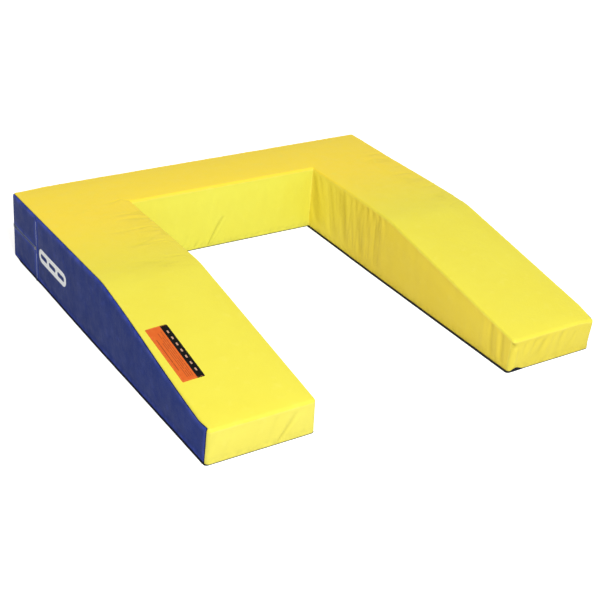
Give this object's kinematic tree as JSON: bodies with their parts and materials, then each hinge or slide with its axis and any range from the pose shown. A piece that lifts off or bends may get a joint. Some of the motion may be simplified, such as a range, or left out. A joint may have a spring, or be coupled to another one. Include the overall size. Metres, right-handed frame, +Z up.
{
  "type": "springboard surround mat",
  "caption": "U-shaped foam surround mat whose two arms slope down to open ends around a bay for a springboard, in a sewn vinyl cover with a rear zip.",
  "frame": {"origin": "on the floor face, on the left-right symmetry plane, under the middle of the crossbar's depth", "axes": "+X to the right seen from the open end, +Y to the closed rear, -Y to the open end of the bay, +Z up"},
  "size_m": [1.2232, 1.2076, 0.204],
  "materials": {
    "yellow_vinyl": "satin",
    "navy_vinyl": "satin",
    "base_vinyl": "matte",
    "block_foam": "matte",
    "pad_foam": "matte",
    "zip_tape": "matte",
    "zip_teeth": "satin",
    "zip_metal": "satin",
    "patch": "satin",
    "badge": "satin"
  },
  "bodies": {
    "mat": {"crossbar_foam": "block_foam", "left_arm_foam": "block_foam", "right_arm_foam": "block_foam", "crossbar_top_pad": "pad_foam", "left_arm_top_pad": "pad_foam", "right_arm_top_pad": "pad_foam", "top_cover": "yellow_vinyl", "base_cover": "base_vinyl", "left_side_cover": "navy_vinyl", "right_side_cover": "navy_vinyl", "rear_band_upper": "navy_vinyl", "rear_band_lower": "navy_vinyl", "bay_back_cover": "yellow_vinyl", "bay_left_cover": "yellow_vinyl", "bay_right_cover": "yellow_vinyl", "left_end_cover": "yellow_vinyl", "right_end_cover": "yellow_vinyl", "zip_tape_upper": "zip_tape", "zip_tape_lower": "zip_tape", "zip_teeth_upper": "zip_teeth", "zip_teeth_lower": "zip_teeth", "zip_start_stop": "zip_metal", "zip_end_stop_upper": "zip_metal", "zip_end_stop_lower": "zip_metal", "caution_patch": "patch", "side_badge": "badge"},
    "zip_slider": {"zip_slider": "zip_metal"},
    "zip_pull": {"zip_pull": "zip_metal"}
  },
  "joints": [
    {"name": "slider_travel", "type": "slide", "parent": "mat", "child": "zip_slider", "axis": [-1, 0, 0], "range_m": [0, 1.13]},
    {"name": "pull_swing", "type": "hinge", "parent": "zip_slider", "child": "zip_pull", "pos_m": [0.555, 0.105, 0.102], "axis": [0, 0, 1], "range_deg": [0, 170]}
  ]
}
